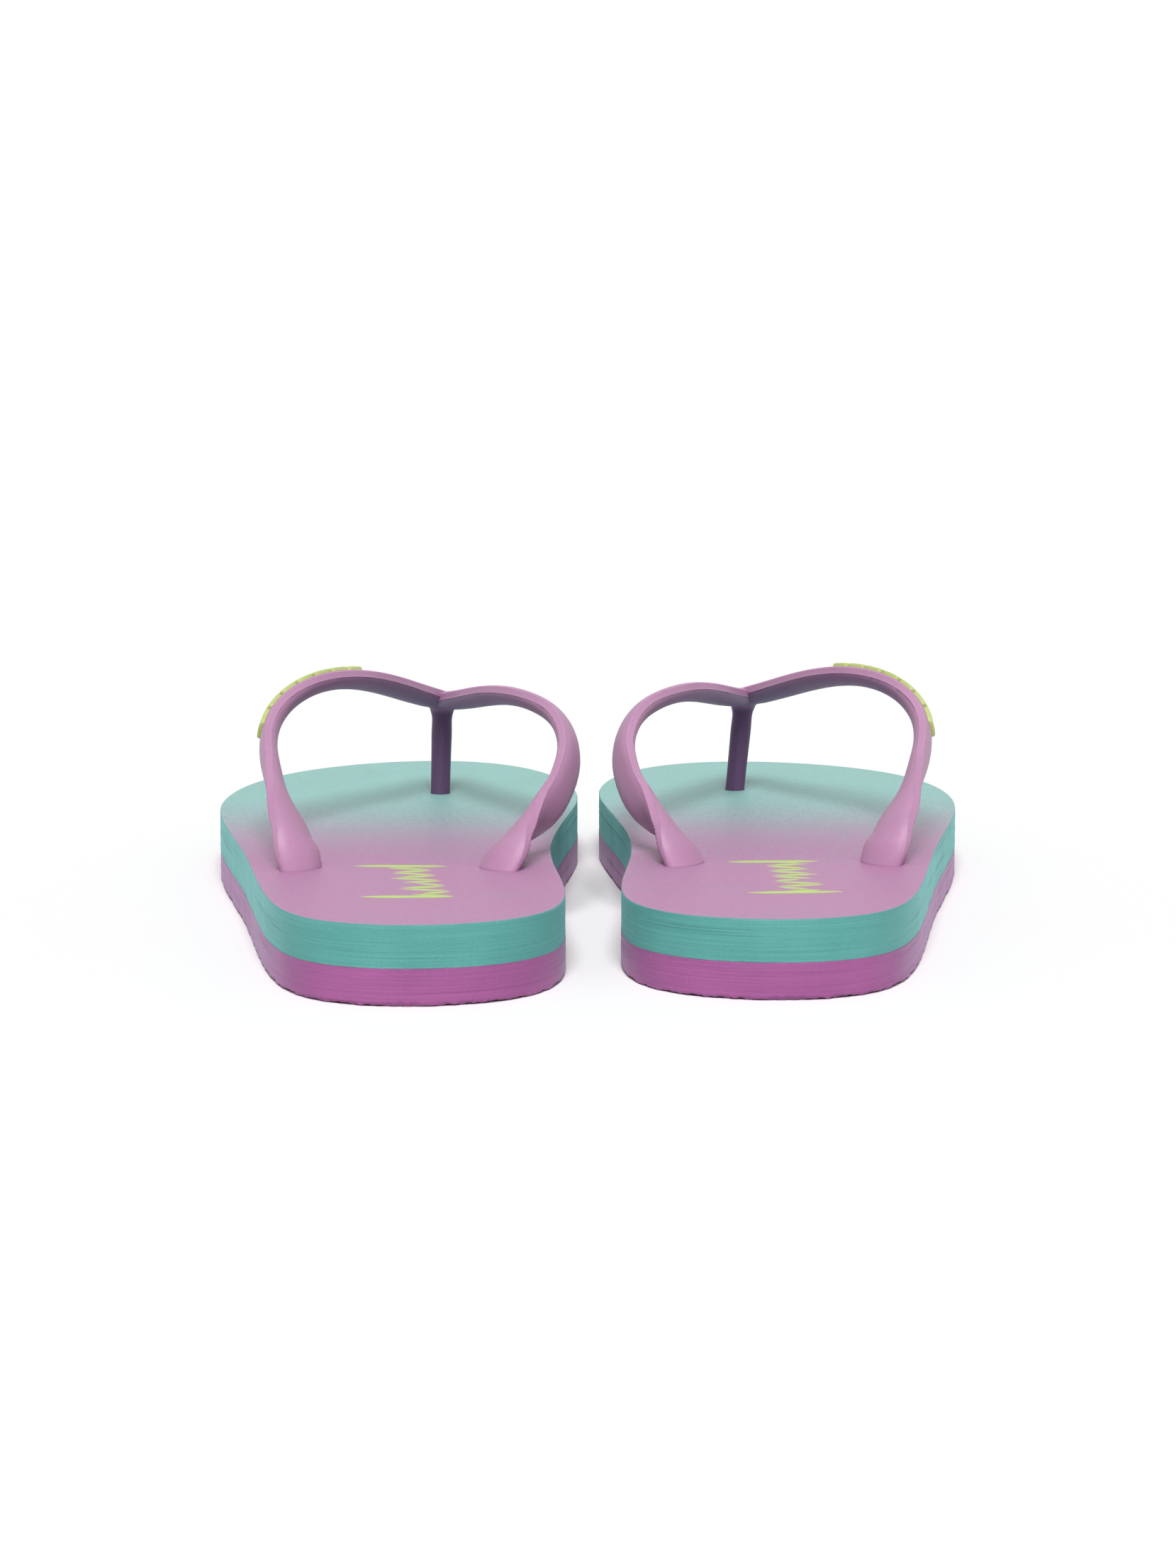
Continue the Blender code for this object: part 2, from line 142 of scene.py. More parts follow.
def outline_halves(count):
    """The outline from heel to toe, by the little toe and by the big toe, with outward normals.

    It is the uniform cubic B-spline of the controls: a point is the sum of four neighbouring
    controls, weighed (1-t)^3, 3t^3-6t^2+4, -3t^3+3t^2+3t+1 and t^3, over six. Each half is
    then spaced evenly by its own length."""
    t = np.linspace(0, 1, SPAN_POINTS, endpoint=False)[None, :, None]
    a, b, c, d = (np.roll(OUTLINE, shift, axis=0)[:, None] for shift in (1, 0, -1, -2))
    curve = (1 - t) ** 3 * a + (3 * t**3 - 6 * t**2 + 4) * b
    curve = curve + (-3 * t**3 + 3 * t**2 + 3 * t + 1) * c + t**3 * d
    curve = curve.reshape(-1, 2) / 6
    curve = np.roll(curve, -curve[:, 1].argmin(), axis=0)
    toe = curve[:, 1].argmax()
    halves = []
    by_little_toe = curve[: toe + 1]
    by_big_toe = np.vstack([curve[toe:], curve[:1]])[::-1]
    for half, outward in ((by_little_toe, 1), (by_big_toe, -1)):
        length = np.r_[0, np.cumsum(np.linalg.norm(np.diff(half, axis=0), axis=1))]
        at = np.linspace(0, length[-1], count)
        points = np.stack([np.interp(at, length, half[:, k]) for k in (0, 1)], axis=1)
        tangent = np.gradient(points, axis=0)
        normal = np.stack([tangent[:, 1], -tangent[:, 0]], axis=1) * outward
        normal[0], normal[-1] = (0, -1), (0, 1)
        normal /= np.linalg.norm(normal, axis=1)[:, None]
        halves.append((points, normal, at * outward))
    return halves


def bond_height(along):
    """Top of the outsole, which thins evenly from heel to toe."""
    thinning = OUTSOLE_TOE_THICKNESS - OUTSOLE_HEEL_THICKNESS
    return OUTSOLE_HEEL_THICKNESS + thinning * along / SOLE_LENGTH


def edge_profile(thickness, low_radius, high_radius, rows):
    """Inset and height share up a layer's edge: a quarter circle, a straight wall and a
    quarter circle."""
    turn = np.linspace(0, math.pi / 2, 4)
    wall = np.linspace(low_radius, thickness - high_radius, rows)[1:-1]
    inset = np.r_[low_radius * (1 - np.sin(turn)), 0 * wall, high_radius * (1 - np.cos(turn))]
    shoulder = thickness - high_radius * (1 - np.sin(turn))
    height = np.r_[low_radius * (1 - np.cos(turn)), wall, shoulder]
    return inset, height / thickness


def foam_layer(name, low, high, profile, low_columns, high_columns, seed, rim_lift=0.0):
    """A layer between two height functions, as rings round it at stations from heel to toe.

    A ring runs under the layer, up the outer edge, back over the top and down the inner edge;
    the rings at both tips close to an upright line. The edges are roughened by cut marks:
    random heights stretched far along the edge and short up it. The underside rises towards
    the edge by the rim's lift, unevenly and less with e to the minus distance. Returns the
    points."""
    inset, share = profile

    def edge(points, normal, way):
        rise = share * (high(0.0, 0.0) - low(0.0, 0.0))
        stretched = way[:, None] / CUT_MARK_STRETCH + 9
        marks = grain(stretched, rise[None] + 0.003, CUT_MARK_HEIGHT, seed)
        waves = grain(way[:, None] + 1, rise[None] / 3, CUT_WAVE_LENGTH, seed + 1)
        marks = marks + CUT_WAVE_SHARE * waves
        pushed = CUT_ROUGHNESS * marks * np.where(inset > 0, ROUNDED_EDGE_SHARE, 1) - inset
        pushed[[0, -1]] = -inset
        return points[:, None] + normal[:, None] * pushed[..., None]

    outer_edge, inner_edge = (edge(*half) for half in outline_halves(STATIONS))

    def run(start, end, columns):
        t = np.linspace(0, 1, columns + 2)[1:-1][None, :, None]
        return start[:, None] * (1 - t) + end[:, None] * t

    under = run(inner_edge[:, 0], outer_edge[:, 0], low_columns)
    over = run(outer_edge[:, -1], inner_edge[:, -1], high_columns)
    plan = np.concatenate([under, outer_edge, over, inner_edge[:, ::-1]], axis=1)
    shares = np.r_[np.zeros(low_columns), share, np.ones(high_columns), share[::-1]]
    floor, roof = low(plan[..., 0], plan[..., 1]), high(plan[..., 0], plan[..., 1])
    edge_distance = np.minimum(
        np.linalg.norm(plan - outer_edge[:, -2][:, None], axis=-1),
        np.linalg.norm(plan - inner_edge[:, -2][:, None], axis=-1),
    )
    scallops = 0.45 + 0.55 * grain(plan[..., 0] + 1, plan[..., 1] + 1, RIM_SCALLOP, seed + 2)
    floor = floor + rim_lift * scallops * np.exp(-edge_distance / RIM_REACH)
    up = floor + (roof - floor) * shares + spring(name, plan[..., 1])
    return stand(name, plan[..., 0], plan[..., 1], up)


WELD_DISTANCE = 1e-7
SPECK_LENGTH = 1e-8
CREASE_ANGLE = math.radians(40)


def piece_mesh(label, points):
    """A closed mesh over a grid of points that wraps along its second side. Its seam and poles
    are welded, specks are dissolved, and its faces look out."""
    rows, columns = points.shape[:2]
    index = np.arange(rows * columns).reshape(rows, columns)
    beside = np.roll(index, -1, axis=1)
    quads = np.stack([index[:-1], beside[:-1], beside[1:], index[1:]], axis=-1).reshape(-1, 4)
    mesh = bpy.data.meshes.new(label)
    mesh.from_pydata(points.reshape(-1, 3), [], quads)
    shape = bmesh.new()
    shape.from_mesh(mesh)
    bmesh.ops.remove_doubles(shape, verts=shape.verts, dist=WELD_DISTANCE)
    bmesh.ops.dissolve_degenerate(shape, edges=shape.edges, dist=SPECK_LENGTH)
    bmesh.ops.recalc_face_normals(shape, faces=shape.faces)
    shape.to_mesh(mesh)
    shape.free()
    return mesh


def new_piece(label, points, material):
    """A smooth object in the scene over that grid of points."""
    thing = bpy.data.objects.new(label, piece_mesh(label, points))
    bpy.context.scene.collection.objects.link(thing)
    thing.data.materials.append(material)
    soften(thing)
    return thing


def soften(thing):
    """Smooth shading, but for edges that turn more than the crease angle."""
    thing.data.shade_smooth()
    thing.data.set_sharp_from_angle(angle=CREASE_ANGLE)


def apply_modifiers(thing):
    """Makes what the modifiers give the object's own mesh."""
    graph = bpy.context.evaluated_depsgraph_get()
    mesh = bpy.data.meshes.new_from_object(thing.evaluated_get(graph))
    thing.modifiers.clear()
    thing.data = mesh


def combine(thing, tools, operation):
    """Joins closed shapes to a piece, or cuts them out of it, and removes them."""
    material = thing.data.materials[0]
    for tool in tools:
        step = thing.modifiers.new(tool.name, "BOOLEAN")
        step.operation = operation
        step.solver = "MANIFOLD"
        step.object = tool
    apply_modifiers(thing)
    thing.data.materials.clear()
    thing.data.materials.append(material)
    only_slot = np.zeros(len(thing.data.polygons), np.int32)
    thing.data.polygons.foreach_set("material_index", only_slot)
    soften(thing)
    for tool in tools:
        bpy.data.objects.remove(tool, do_unlink=True)


class Field:
    """A number that varies over a surface. Sums and products of fields add Math nodes."""

    def __init__(self, tree, socket):
        self.tree, self.socket = tree, socket

    def math(self, operation, *others):
        step = self.tree.nodes.new("ShaderNodeMath")
        step.operation = operation
        for place, value in zip(step.inputs, (self, *others)):
            if isinstance(value, Field):
                self.tree.links.new(value.socket, place)
            else:
                place.default_value = value
        return Field(self.tree, step.outputs[0])

    def __add__(self, other):
        return self.math("ADD", other)

    def __sub__(self, other):
        return self.math("SUBTRACT", other)

    def __mul__(self, other):
        return self.math("MULTIPLY", other)

    def between(self, low, high):
        """0 below low, 1 above high, and smooth between."""
        step = self.tree.nodes.new("ShaderNodeMapRange")
        step.interpolation_type = "SMOOTHSTEP"
        step.inputs["From Min"].default_value = low
        step.inputs["From Max"].default_value = high
        self.tree.links.new(self.socket, step.inputs["Value"])
        return Field(self.tree, step.outputs["Result"])


def new_material(label):
    """A material with its node tree, Principled shader and Object coordinates."""
    material = bpy.data.materials.new(label)
    material.use_nodes = True
    tree = material.node_tree
    place = tree.nodes.new("ShaderNodeTexCoord").outputs["Object"]
    return material, tree, tree.nodes["Principled BSDF"], place


def mapped(tree, vector, scale=(1, 1, 1), location=(0, 0, 0), turn=0.0, kind="POINT"):
    """Coordinates scaled, turned about Z and moved by a Mapping node."""
    step = tree.nodes.new("ShaderNodeMapping")
    step.vector_type = kind
    step.inputs["Scale"].default_value = scale
    step.inputs["Location"].default_value = location
    step.inputs["Rotation"].default_value = (0, 0, turn)
    tree.links.new(vector, step.inputs["Vector"])
    return step.outputs["Vector"]


def noise(tree, vector, scale, detail=2.0):
    """Blender's noise with about scale features to a metre, as a field from 0 to 1."""
    step = tree.nodes.new("ShaderNodeTexNoise")
    step.inputs["Scale"].default_value = scale
    step.inputs["Detail"].default_value = detail
    tree.links.new(vector, step.inputs["Vector"])
    return Field(tree, step.outputs["Fac"])


def blend(tree, share, first, second):
    """A colour that goes from first to second, each a colour or another blend, with the share."""
    step = tree.nodes.new("ShaderNodeMix")
    step.data_type = "RGBA"
    tree.links.new(share.socket, step.inputs["Factor"])
    first_colour, second_colour = step.inputs[6], step.inputs[7]
    for place, colour in ((first_colour, first), (second_colour, second)):
        if isinstance(colour, tuple):
            place.default_value = (*colour, 1)
        else:
            tree.links.new(colour, place)
    return step.outputs[2]


def relief(tree, shader, height, distance):
    """Bump from a height field, whose whole range stands for the distance in metres."""
    step = tree.nodes.new("ShaderNodeBump")
    step.inputs["Distance"].default_value = distance
    tree.links.new(height.socket, step.inputs["Height"])
    tree.links.new(step.outputs["Normal"], shader.inputs["Normal"])


def cut_foam(label, colour, mark, bloom):
    """EVA foam as a die leaves it: closed cells, level streaks, a few deeper cut marks, and a
    bloom of broken cells that lightens the colour at a glancing view."""
    material, tree, shader, place = new_material(label)
    cells = noise(tree, place, scale=2600, detail=3)
    level = mapped(tree, place, scale=(26, 26, 2300))
    streaks = noise(tree, level, scale=1, detail=3)
    sparse = mapped(tree, place, scale=(17, 17, 900), location=(3, 5, 7))
    cuts = noise(tree, sparse, scale=1, detail=1).between(0.60, 0.74)
    clouds = noise(tree, place, scale=60)
    worn = cells * 0.35 + streaks * 0.5 + clouds * 0.3 - 0.1
    shade = blend(tree, worn.between(0.15, 0.85), mark, colour)
    shade = blend(tree, cuts * 0.45, shade, mark)
    tree.links.new(shade, shader.inputs["Base Color"])
    shader.inputs["Roughness"].default_value = 0.62
    shader.inputs["Specular IOR Level"].default_value = 0.32
    shader.inputs["Sheen Weight"].default_value = 0.22
    shader.inputs["Sheen Tint"].default_value = (*bloom, 1)
    shader.inputs["Sheen Roughness"].default_value = 0.4
    relief(tree, shader, cells * 0.5 + streaks * 0.6 - cuts * 0.7, distance=0.00012)
    return material


def tread(out, along):
    """Height of the ground side: two crossed waves make diamonds, pressed unevenly deep."""
    wave = 2 * math.pi / TREAD_PITCH
    crossed = np.cos(wave * out) * np.cos(wave * along)
    uneven = grain(out + 1, along + 1, TREAD_PATCH, TREAD_SEED)
    depth = TREAD_DEPTH * (1 + TREAD_UNEVENNESS * uneven)
    return depth * (0.5 - 0.5 * crossed)


# The strap passes through both layers at three places. For each stem its middle, its long and
# short side, and the turn of its long side from straight along the sole, inwards above zero.
SIDE_HOLES = 0.0765
STEMS = {
    "outer": ((0.0288, SIDE_HOLES), (0.0110, 0.0052), math.radians(45)),
    "inner": ((-0.0187, SIDE_HOLES), (0.0110, 0.0052), -math.radians(45)),
    "toe": ((0.0, TOE_HOLE), (0.0052, 0.0052), 0.0),
}
HOLE_CLEARANCE = 0.0001
PLUG_RADIUS = 0.0080
RECESS_CLEARANCE = 0.0004
RECESS_DEPTH = 0.0036
RECESS_WIDTH = 2 * (PLUG_RADIUS + RECESS_CLEARANCE)
CUTTER_POINTS = 96
CUTTER_LOW = -0.01
CUTTER_HIGH = 0.03


def oval_pillar(name, key, size, low, high):
    """An upright cutter of oval section at one of the stems: a ring at each of two heights,
    closed to a point in the middle of both ends."""
    (out, along), _, turn = STEMS[key]
    a = np.linspace(0, 2 * math.pi, CUTTER_POINTS, endpoint=False)
    length, width = np.cos(a) * size[0] / 2, np.sin(a) * size[1] / 2
    x = out + width * math.cos(turn) - length * math.sin(turn)
    y = along + width * math.sin(turn) + length * math.cos(turn)
    scale = np.array([0, 1, 1, 0])[:, None]
    up = np.array([low, low, high, high])[:, None]
    points = stand(name, out + (x - out) * scale, along + (y - along) * scale, up + 0 * x)
    thing = bpy.data.objects.new("cutter", piece_mesh("cutter", points))
    bpy.context.scene.collection.objects.link(thing)
    return thing


def stem_cutters(name):
    """One cutter for each stem, a little wider than the stem."""
    return [
        oval_pillar(name, key, np.array(size) + 2 * HOLE_CLEARANCE, CUTTER_LOW, CUTTER_HIGH)
        for key, (_, size, _) in STEMS.items()
    ]


# The layers meet at the bond height, with a thin glue line whose lower face lies this high.
GLUE_LOW = 0.00014

pink_foam = cut_foam(
    "pink_foam",
    colour=(0.375, 0.106, 0.300),
    mark=(0.235, 0.060, 0.192),
    bloom=(0.70, 0.75, 0.90),
)

for name in SIDES:
    rings = foam_layer(
        name,
        low=tread,
        high=lambda out, along: bond_height(along) + GLUE_LOW,
        profile=edge_profile(
            OUTSOLE_HEEL_THICKNESS, low_radius=0.00045, high_radius=0.00006, rows=16
        ),
        low_columns=140,
        high_columns=10,
        seed=20,
        rim_lift=RIM_LIFT,
    )
    outsole = new_piece(name + "_outsole_foam", rings, pink_foam)
    recess = (RECESS_WIDTH, RECESS_WIDTH)
    recesses = [oval_pillar(name, key, recess, CUTTER_LOW, RECESS_DEPTH) for key in STEMS]
    combine(outsole, stem_cutters(name) + recesses, "DIFFERENCE")
    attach(outsole, name + "_sandal")
    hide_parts(name + "_outsole")


# ---------------------------------------------------------------------------------------
# Footbed: the upper layer, a sheet of turquoise EVA foam with an embossed top. The top is
# screen printed: lilac at the heel that breaks up into fine dots and fades to the bare
# turquoise at the toes, and a lime scribble between two slim bars under the heel.
# ---------------------------------------------------------------------------------------
FOOTBED_THICKNESS = 0.0100
GLUE_HIGH = 0.00016
PRESSED_DEPTH = 0.00035
PRESSED_REACH = 0.0022
LILAC_UNTIL = 0.070
TURQUOISE_FROM = 0.212
DOT_PITCH = 0.0017
EMBOSS_PITCH = 0.00115
# The unprinted top: the turquoise foam's colour, lightened in part by a painted reflection of the
# white surroundings as a glancing view shows it.
BARE_TOP_AND_PAINTED_REFLECTION = (0.225, 0.505, 0.462)
LILAC_INK = (0.425, 0.160, 0.340)
LIME_INK = (0.44, 0.67, 0.10)
WORN_INK = (0.23, 0.27, 0.33)
# For each heel the far and the near bar, as station, start, end and tilt, and the scribble's
# middle at the near and at the far bar.
HEEL_PRINTS = {
    "left": (
        (0.0790, -0.0067, 0.0165, 0.020),
        (0.0362, -0.0096, 0.0125, -0.012),
        (-0.0050, 0.0030),
    ),
    "right": (
        (0.0785, -0.0088, 0.0142, 0.030),
        (0.0350, -0.0062, 0.0165, 0.050),
        (0.0065, 0.0050),
    ),
}
STROKE_PITCH = 0.0037
STROKE_SHORTEST = 0.0032
STROKE_SPREAD = 0.0030
BAR_WIDTH = 0.0027

# A face belongs to the printed top where the upright part of its normal is above this.
FACES_UP = 0.75


def footbed_height(out, along):
    """Top of the footbed, drawn down a little round each stem by e to the minus fourth power
    of the distance."""
    top = bond_height(along) + FOOTBED_THICKNESS + 0 * out
    for (stem_out, stem_along), (length, width), turn in STEMS.values():
        x, y = out - stem_out, along - stem_along
        u = y * math.cos(turn) - x * math.sin(turn)
        v = x * math.cos(turn) + y * math.sin(turn)
        squared = (u / (length / 2 + PRESSED_REACH)) ** 2 + (v / (width / 2 + PRESSED_REACH)) ** 2
        top = top - PRESSED_DEPTH * np.exp(-(squared**2))
    return top


def printed_top(name):
    """The printed and embossed top of one footbed."""
    material, tree, shader, place = new_material(name + "_printed_top")
    turn = SIDES[name] * TOE_IN[name]
    heel = tuple(origin(name))
    local = mapped(tree, place, scale=(SIDES[name], 1, 1), location=heel, turn=turn, kind="TEXTURE")
    split = tree.nodes.new("ShaderNodeSeparateXYZ")
    tree.links.new(local, split.inputs["Vector"])
    out, along = Field(tree, split.outputs["X"]), Field(tree, split.outputs["Y"])

    # Dots on a diagonal lattice, which decide where the lilac ink gives way to the foam.
    wave = 2 * math.pi / DOT_PITCH
    rising = ((out * 0.6 + along) * wave).math("SINE")
    falling = ((along * 0.8 - out) * wave).math("SINE")
    dots = rising * falling
    cells = noise(tree, place, scale=2300, detail=3)
    fade = along.between(LILAC_UNTIL, TURQUOISE_FROM)
    halfway = fade * (fade * -1 + 1)
    share = fade + halfway * dots * 0.55 + halfway * (cells - 0.5) * 1.6
    # Where the ink gives way, the bare top's colour carries that painted reflection.
    ground = blend(tree, share.between(0.0, 1.0), LILAC_INK, BARE_TOP_AND_PAINTED_REFLECTION)
    clouds = noise(tree, place, scale=45) * 0.3 + cells * 0.35
    ground = blend(tree, clouds.between(0.2, 0.9), ground, WORN_INK)

    # Slanting flecks where the ink is worn, from the strap's seats to the ball of the foot.
    slanted = mapped(tree, local, scale=(800, 300, 1), turn=0.35)
    flecks = noise(tree, slanted, scale=1, detail=2).between(0.50, 0.66)
    worn = along.between(0.055, 0.095) * (along * -1).between(-0.205, -0.150)
    ground = blend(tree, flecks * worn * 0.46, ground, WORN_INK)

    # The scribble: slanting strokes in rows, each of its own length and place, and two bars.
    far, near, (near_middle, far_middle) = HEEL_PRINTS[name]
    fine = mapped(tree, place, scale=(350, 1500, 1))
    ragged = (noise(tree, fine, scale=1, detail=2) - 0.5) * 0.5
    row = (along - near[0]) * (1 / STROKE_PITCH)
    number = row.math("FLOOR")
    dice = tree.nodes.new("ShaderNodeTexWhiteNoise")
    dice.noise_dimensions = "1D"
    tree.links.new(number.socket, dice.inputs["W"])
    chance = Field(tree, dice.outputs["Value"])
    drift = (far_middle - near_middle) / (far[0] - near[0])
    middle = (along - near[0]) * drift + near_middle + (chance - 0.5) * 0.003
    half = chance * STROKE_SPREAD + STROKE_SHORTEST
    sideways = (out - middle).math("DIVIDE", half)
    slant = sideways * (number.math("MODULO", 2) * 2 - 1)
    height = (row - number - 0.5 + slant * 0.34).math("ABSOLUTE")
    stroke = (sideways * sideways * -1 + 1) * 0.32 - height + ragged * 0.36
    past_near = along.between(near[0] + 0.0005, near[0] + 0.0010)
    short_of_far = (along * -1).between(-far[0] + 0.0005, -far[0] + 0.0010)
    ink = stroke.between(-0.02, 0.05) * (past_near * short_of_far)
    for station, start, end, tilt in (far, near):
        centred = out - (start + end) / 2
        reach = centred * (2 / (end - start))
        off = (along - station - centred * tilt).math("ABSOLUTE") * (2 / BAR_WIDTH)
        bar = (reach * reach * reach * reach * -1 + 1) * 1.15 - off + ragged * 1.1
        ink = ink.math("MAXIMUM", bar.between(-0.05, 0.15))
    ink = ink * 0.98
    tree.links.new(blend(tree, ink, ground, LIME_INK), shader.inputs["Base Color"])
    shader.inputs["Roughness"].default_value = 0.48
    shader.inputs["Specular IOR Level"].default_value = 0.75
    shader.inputs["Sheen Weight"].default_value = 0.10
    shader.inputs["Sheen Roughness"].default_value = 0.4

    # The emboss: fine ribs across the sole with a diagonal row of dots on them.
    ribs = ((along + out * 0.22) * (2 * math.pi / EMBOSS_PITCH)).math("SINE")
    beads = ((out - along * 0.45) * (2 * math.pi / (1.4 * EMBOSS_PITCH))).math("SINE")
    pressed = along.between(0.070, 0.095) * 0.75 + 0.25
    height = (ribs + beads * 0.7) * 0.25 * pressed + cells * 0.4
    relief(tree, shader, height, distance=0.00036)
    return material


turquoise_foam = cut_foam(
    "turquoise_foam",
    colour=(0.112, 0.365, 0.335),
    mark=(0.058, 0.235, 0.220),
    bloom=(0.45, 1.00, 1.00),
)

for name in SIDES:
    rings = foam_layer(
        name,
        low=lambda out, along: bond_height(along) + GLUE_HIGH,
        high=footbed_height,
        profile=edge_profile(FOOTBED_THICKNESS, low_radius=0.00006, high_radius=0.00030, rows=20),
        low_columns=10,
        high_columns=90,
        seed=30,
    )
    footbed = new_piece(name + "_footbed_foam", rings, turquoise_foam)
    combine(footbed, stem_cutters(name), "DIFFERENCE")
    footbed.data.materials.append(printed_top(name))
    facing = np.zeros(len(footbed.data.polygons) * 3)
    footbed.data.polygons.foreach_get("normal", facing)
    middle = np.zeros_like(facing)
    footbed.data.polygons.foreach_get("center", middle)
    halfway_up = OUTSOLE_HEEL_THICKNESS + FOOTBED_THICKNESS / 2
    on_top = (facing[2::3] > FACES_UP) & (middle[2::3] > halfway_up)
    footbed.data.polygons.foreach_set("material_index", on_top.astype(np.int32))
    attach(footbed, name + "_sandal")
    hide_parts(name + "_footbed")


# ---------------------------------------------------------------------------------------
# Strap: one soft PVC moulding in lilac, shot as two arms, a toe post and three stems with
# plugs, and pulled up through the sole from below until the plugs sit in their recesses.
# The mould leaves a thin parting line with bits of flash, and a row of beads at each edge.
# ---------------------------------------------------------------------------------------
JUNCTION_HEIGHT = 0.0252
JUNCTION = (-0.0008, 0.1990)
STRAP_LEAN = {"left": 0.0, "right": 0.0030}
POST_RADIUS = 0.0026
POST_TOP_RADIUS = 0.0030
POST_FLARE = 0.0007
POST_ENDS_UNDER = 0.0008
FLARE_FROM = 0.0200
FLARE_LENGTH = 0.0040
NOSE_LENGTH = 0.0030
NOSE_SINK = 0.25
NOSE_RINGS = 16
RING_SPACING = 0.00021
RING_POINTS = 60
ARM_SQUARENESS = 0.6
SQUARE_AFTER = 0.0120
SEAT_BLEND = 0.0080
JUNCTION_FILLET = 0.0100
FILLET_ROUNDS = 36

# Where shade is painted into the moulding's colour: round the post's axis and up to a height
# above the footbed, and on the arms' underside above another, each with the length of its fade.
PAINTED_SHADE_POST_RADIUS, PAINTED_SHADE_POST_EDGE = 0.0036, 0.0020
PAINTED_SHADE_POST_UNTIL, PAINTED_SHADE_POST_FADE = 0.0215, 0.0030
PAINTED_SHADE_UNDER_FROM, PAINTED_SHADE_UNDER_FADE = 0.0120, 0.0080
# How much painted shade the arms' underside gets where it faces straight down.
UNDERSIDE_PAINTED_SHADE = 0.42

# What the mould leaves: where on the section (radians above the level of its edge), how wide
# in radians, how high, and how long a wobble, a torn bit of flash or a bead is.
PARTING_ANGLE = -0.20
PARTING_WIDTH = 0.055
PARTING_HEIGHT = 0.00026
PARTING_WOBBLE = 0.0007
FLASH_PATCH = 0.0032
FLASH_TOOTH = 0.0004
FLASH_HEIGHT = 0.00032
BEAD_ANGLE = 0.30
BEAD_WIDTH = 0.10
BEAD_PITCH = 0.00080
BEAD_HEIGHT = 0.00030
BEAD_SLANT = 5
SHOULDER_WIDTH = 0.17
SHOULDER_SHARE = 0.35
RIDGES_FADE_IN = 0.012
RIDGES_FADE_OUT = 0.010

# Each arm from its hole to the junction: the share of the way along, the bulge away from the
# straight line between them, the height above the footbed, the way the outer face looks
# (degrees forward of sideways, degrees above level), the band's width and its thickness.
ARMS = {
    "outer": [
        (0.000, 0.0000, 0.0000, 45, 0, 0.0122, 0.0062),
        (0.008, 0.0010, 0.0038, 45, 0, 0.0128, 0.0060),
        (0.043, 0.0036, 0.0082, 45, 2, 0.0130, 0.0056),
        (0.082, 0.0065, 0.0117, 43, 4, 0.0126, 0.0052),
        (0.134, 0.0104, 0.0152, 36, 7, 0.0117, 0.0049),
        (0.194, 0.0140, 0.0191, 24, 10, 0.0107, 0.0046),
        (0.263, 0.0177, 0.0236, 14, 14, 0.0099, 0.0044),
        (0.341, 0.0199, 0.0289, 12, 24, 0.0094, 0.0044),
        (0.435, 0.0190, 0.0339, 18, 45, 0.0092, 0.0044),
        (0.552, 0.0145, 0.0367, 30, 65, 0.0090, 0.0044),
        (0.690, 0.0086, 0.0350, 45, 72, 0.0088, 0.0045),
        (0.853, 0.0033, 0.0297, 60, 74, 0.0086, 0.0047),
        (1.000, 0.0000, 0.0252, 90, 72, 0.0086, 0.0050),
    ],
    "inner": [
        (0.000, 0.0000, 0.0000, 45, 0, 0.0122, 0.0062),
        (0.010, 0.0016, 0.0026, 43, 0, 0.0127, 0.0060),
        (0.047, 0.0052, 0.0064, 38, 2, 0.0129, 0.0056),
        (0.078, 0.0082, 0.0088, 27, 4, 0.0124, 0.0052),
        (0.112, 0.0119, 0.0115, 12, 7, 0.0115, 0.0049),
        (0.155, 0.0157, 0.0144, -6, 10, 0.0100, 0.0045),
        (0.207, 0.0185, 0.0173, -14, 12, 0.0096, 0.0044),
        (0.302, 0.0218, 0.0232, -14, 18, 0.0094, 0.0044),
        (0.379, 0.0215, 0.0283, 0, 35, 0.0092, 0.0044),
        (0.491, 0.0176, 0.0318, 20, 58, 0.0090, 0.0044),
        (0.690, 0.0098, 0.0313, 45, 70, 0.0088, 0.0045),
        (0.850, 0.0042, 0.0279, 60, 73, 0.0086, 0.0047),
        (1.000, 0.0000, 0.0252, 90, 72, 0.0086, 0.0050),
    ],
}

# A plug and its stem from below, as (height, share of the plug's width): a gate mark, a
# rounded rim, and the shoulder from which the stem goes up.
PLUG = np.array(
    [
        (0.00055, 0.0), (0.00055, 0.16), (0.00080, 0.20), (0.00080, 0.90), (0.00090, 0.96),
        (0.00115, 1.0), (0.00290, 1.0), (0.00312, 0.98), (0.00320, 0.94),
    ]
)
STEM_FOOT = PLUG[-1, 0] + 0.00005

# Where an arm's stem widens to its seat: depth under the foam's dimpled top, width, thickness.
SEAT_ROWS = np.array([(0.0007, 0.0119, 0.0060), (0.0003, 0.0121, 0.0061)])
STEM_ENDS_UNDER = 0.0012


def ring_angles():
    """Angles round the section, spaced evenly by a density that peaks at the parting lines
    and at the beads."""
    a = np.linspace(-math.pi / 2, 1.5 * math.pi, 20001)
    parting = np.minimum(np.abs(a - PARTING_ANGLE), np.abs(math.pi - a - PARTING_ANGLE))
    beads = np.minimum(np.abs(a - BEAD_ANGLE), np.abs(math.pi - a - BEAD_ANGLE))
    at_parting = np.exp(-((parting / (2 * PARTING_WIDTH)) ** 2))
    at_beads = np.exp(-((beads / (2 * BEAD_WIDTH)) ** 2))
    density = 1 + 5 * at_parting + 3.2 * at_beads
    share = np.r_[0, np.cumsum(density)[:-1]]
    return np.interp(np.arange(RING_POINTS) / RING_POINTS, share / share[-1], a)


ANGLES = ring_angles()


